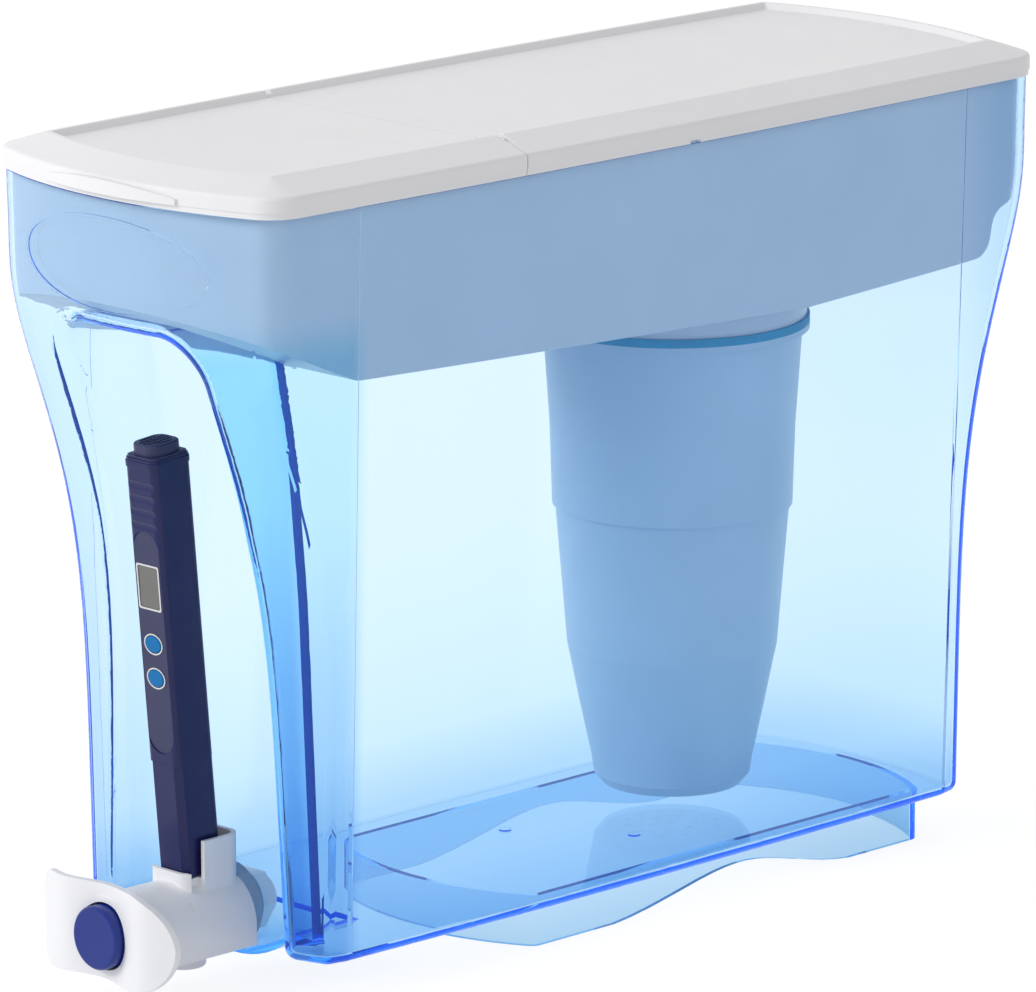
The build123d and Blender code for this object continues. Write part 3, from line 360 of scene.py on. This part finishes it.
def metal(name, color, roughness, stretch=(1, 1, 1)):
    """Metal with fine drawn lines."""
    material, nodes, links, shader = new_material(name)
    place = nodes.new("ShaderNodeTexCoord")
    along = nodes.new("ShaderNodeMapping")
    along.inputs["Scale"].default_value = stretch
    links.new(place.outputs["Object"], along.inputs["Vector"])
    texture = nodes.new("ShaderNodeTexNoise")
    texture.inputs["Scale"].default_value = drawn_scale
    texture.inputs["Detail"].default_value = 3
    links.new(along.outputs["Vector"], texture.inputs["Vector"])
    lines = texture.outputs["Fac"]
    uneven = remap(nodes, links, lines, roughness * (1 - drawn_spread), roughness * (1 + drawn_spread))
    shader.inputs["Metallic"].default_value = 1
    links.new(shade(nodes, links, lines, scaled(color, drawn_dark), color), shader.inputs["Base Color"])
    links.new(uneven, shader.inputs["Roughness"])
    relief(nodes, links, shader, [(lines, drawn_depth)])
    return material


def granular(name, shades, scale, roughness):
    """Bed of grains between a dark and a light shade."""
    material, nodes, links, shader = new_material(name)
    grains = cells(nodes, links, scale)
    links.new(shade(nodes, links, grains.outputs["Color"], *shades), shader.inputs["Base Color"])
    shader.inputs["Roughness"].default_value = roughness
    relief(nodes, links, shader, [(grains.outputs["Distance"], bed_depth)])
    return material


def woven(name, color, scale):
    """Fine woven mesh or open foam, with painted shade in its holes."""
    material, nodes, links, shader = new_material(name)
    weave = cells(nodes, links, scale)
    weave.feature = "DISTANCE_TO_EDGE"
    holes = remap(nodes, links, weave.outputs["Distance"], 0, 1, 0, weave_gap)
    # Painted shade in the holes.
    links.new(shade(nodes, links, holes, color, scaled(color, hole_painted_shade)), shader.inputs["Base Color"])
    shader.inputs["Roughness"].default_value = weave_roughness
    relief(nodes, links, shader, [(holes, weave_depth)])
    return material


def display_glass(name, color):
    """Liquid-crystal display under a clear window."""
    material, nodes, links, shader = new_material(name)
    haze = noise(nodes, links, haze_scale, detail=3)
    dots = noise(nodes, links, dot_scale, detail=1)
    links.new(shade(nodes, links, haze, scaled(color, haze_dark), color), shader.inputs["Base Color"])
    links.new(remap(nodes, links, dots, *display_roughness), shader.inputs["Roughness"])
    relief(nodes, links, shader, [(dots, dot_depth)])
    shader.inputs["Coat Weight"].default_value = window_coat
    shader.inputs["Coat Roughness"].default_value = window_roughness
    return material


# ---- Materials of the object ----
def paint(material, *names):
    """Give CAD nodes their material."""
    for name in names:
        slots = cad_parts[name].data.materials
        slots.clear()
        slots.append(material)


def paint_housing():
    """Tank, reservoir, lid and tap."""
    paint(clear_plastic("clear_blue"), "tank")
    paint(moulded("powder_blue", powder_blue, 0.32, spread=0.04), "reservoir")
    paint(moulded("lid_white", lid_white, 0.36, spread=0.02), "rear_lid", "fill_flap")
    paint(moulded("tap_white", tap_white, 0.36, spread=0.03),
          "tap_body", "finger_plate", "outlet_nozzle", "tap_nut")
    paint(moulded("navy_button", button_navy, 0.34, spread=0.06, coat=0.05, shine=0.35), "tap_button")
    paint(rubber("grey_rubber", washer_grey),
          "tank_seal_outer", "tank_seal_inner", "valve_seal", "stem_seal")


def paint_filter():
    """Cartridge, its stages and its gasket."""
    paint(moulded("filter_blue", filter_blue, 0.42), "filter_sleeve", "filter_shell", "filter_inlet_cap")
    paint(rubber("teal_rubber", teal), "filter_gasket")
    paint(granular("carbon", carbon_shades, carbon_scale, carbon_roughness), "carbon_bed")
    paint(granular("resin", resin_shades, resin_scale, resin_roughness), "resin_bed")
    paint(woven("foam", foam_white, foam_scale), "foam_distributor")
    paint(woven("mesh", mesh_grey, mesh_scale), "coarse_screen", "fine_membrane")


def paint_meter():
    """Pen meter, its caps, keys and inside."""
    paint(moulded("navy_meter", meter_navy, 0.36, spread=0.08, coat=0.1, shine=0.3),
          "meter_body", "probe_cap")
    paint(moulded("slate", slate, 0.44, spread=0.08), "meter_face_panel", "battery_cap", "probe_neck")
    paint(moulded("key_blue", key_blue, 0.34, spread=0.08, shine=0.2),
          "meter_power_button", "meter_hold_button")
    paint(display_glass("display_grey", display_grey), "meter_display")
    paint(metal("silver", silver, 0.18), "display_frame", "button_rings")
    paint(moulded("board_green", board_green, 0.4, spread=0.3), "circuit_board")


def paint_metal_parts():
    """Steel pieces of the tap, the flap and the meter."""
    paint(metal("steel", steel, 0.24, stretch=(1, 0.05, 1)),
          "valve_stem", "valve_spring", "hinge_pins", "probe_pins", "button_cells")


# ---- Camera, light and floor ----
def place_camera():
    """Camera at the viewing angle, looking at the object's middle."""
    a, e = radians(view_azimuth), radians(view_elevation)
    toward = Vector((sin(a) * cos(e), -cos(a) * cos(e), sin(e)))
    data = bpy.data.cameras.new("camera")
    data.lens = view_lens
    data.sensor_width = view_sensor
    data.clip_end = view_reach
    camera = bpy.data.objects.new("camera", data)
    bpy.context.scene.collection.objects.link(camera)
    turn = toward.to_track_quat("Z", "Y").to_matrix().to_4x4()
    camera.matrix_world = (Matrix.Translation(view_target + toward * view_distance) @ turn
                           @ Matrix.Rotation(radians(view_roll), 4, "Z"))
    bpy.context.scene.camera = camera


def area_light(name, place, size, strength):
    """Large soft lamp aimed at the object. It doesn't show in mirrors or through clear walls."""
    data = bpy.data.lights.new(name, "AREA")
    data.shape = "DISK"
    data.size = size
    data.energy = strength
    lamp = bpy.data.objects.new(name, data)
    bpy.context.scene.collection.objects.link(lamp)
    aim = (place - view_target).to_track_quat("Z", "Y").to_matrix().to_4x4()
    lamp.matrix_world = Matrix.Translation(place) @ aim
    lamp.visible_glossy = False
    lamp.visible_transmission = False


def seen_directly(nodes, links):
    """One where a ray comes from the camera, a mirror or a clear body."""
    path = nodes.new("ShaderNodeLightPath")
    kinds = "Is Camera Ray", "Is Glossy Ray", "Is Transmission Ray"
    camera, mirror, clear = (path.outputs[kind] for kind in kinds)
    return combine(nodes, links, "MAXIMUM", combine(nodes, links, "MAXIMUM", camera, mirror), clear)


def white_world():
    """White surround, which lights the object at a plainer level than it shows."""
    world = bpy.data.worlds.new("studio")
    bpy.context.scene.world = world
    world.use_nodes = True
    nodes, links = world.node_tree.nodes, world.node_tree.links
    nodes.clear()
    out = nodes.new("ShaderNodeOutputWorld")
    plain, shown = (glow_of(nodes, "ShaderNodeBackground", (1, 1, 1), level)
                    for level in (sky_strength, sky_shown))
    surface = mix_shader(nodes, links, seen_directly(nodes, links), plain, shown)
    links.new(surface, out.inputs["Surface"])


def white_floor():
    """Pale floor that keeps the object's soft shadow."""
    bpy.ops.mesh.primitive_plane_add(size=floor_size, location=(0, 0, -floor_drop))
    floor = bpy.context.object
    floor.name = "floor"
    material = bpy.data.materials.new("floor_white")
    material.use_nodes = True
    nodes, links = material.node_tree.nodes, material.node_tree.links
    nodes.clear()
    out = nodes.new("ShaderNodeOutputMaterial")
    matt = nodes.new("ShaderNodeBsdfDiffuse")
    matt.inputs["Color"].default_value = (*floor_color, 1)
    glow = glow_of(nodes, "ShaderNodeEmission", (1, 1, 1), floor_glow)
    share = nodes.new("ShaderNodeMath")
    share.operation = "MULTIPLY"
    share.inputs[1].default_value = floor_glow_share
    links.new(seen_directly(nodes, links), share.inputs[0])
    surface = mix_shader(nodes, links, share.outputs[0], matt.outputs[0], glow)
    links.new(surface, out.inputs["Surface"])
    floor.data.materials.append(material)


paint_housing()
paint_filter()
paint_meter()
paint_metal_parts()
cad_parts["tank"].visible_shadow = False
place_camera()
white_world()
area_light("key", key_place, key_size, key_strength)
area_light("side", side_place, side_size, side_strength)
white_floor()
bpy.context.scene.view_settings.view_transform = "Standard"
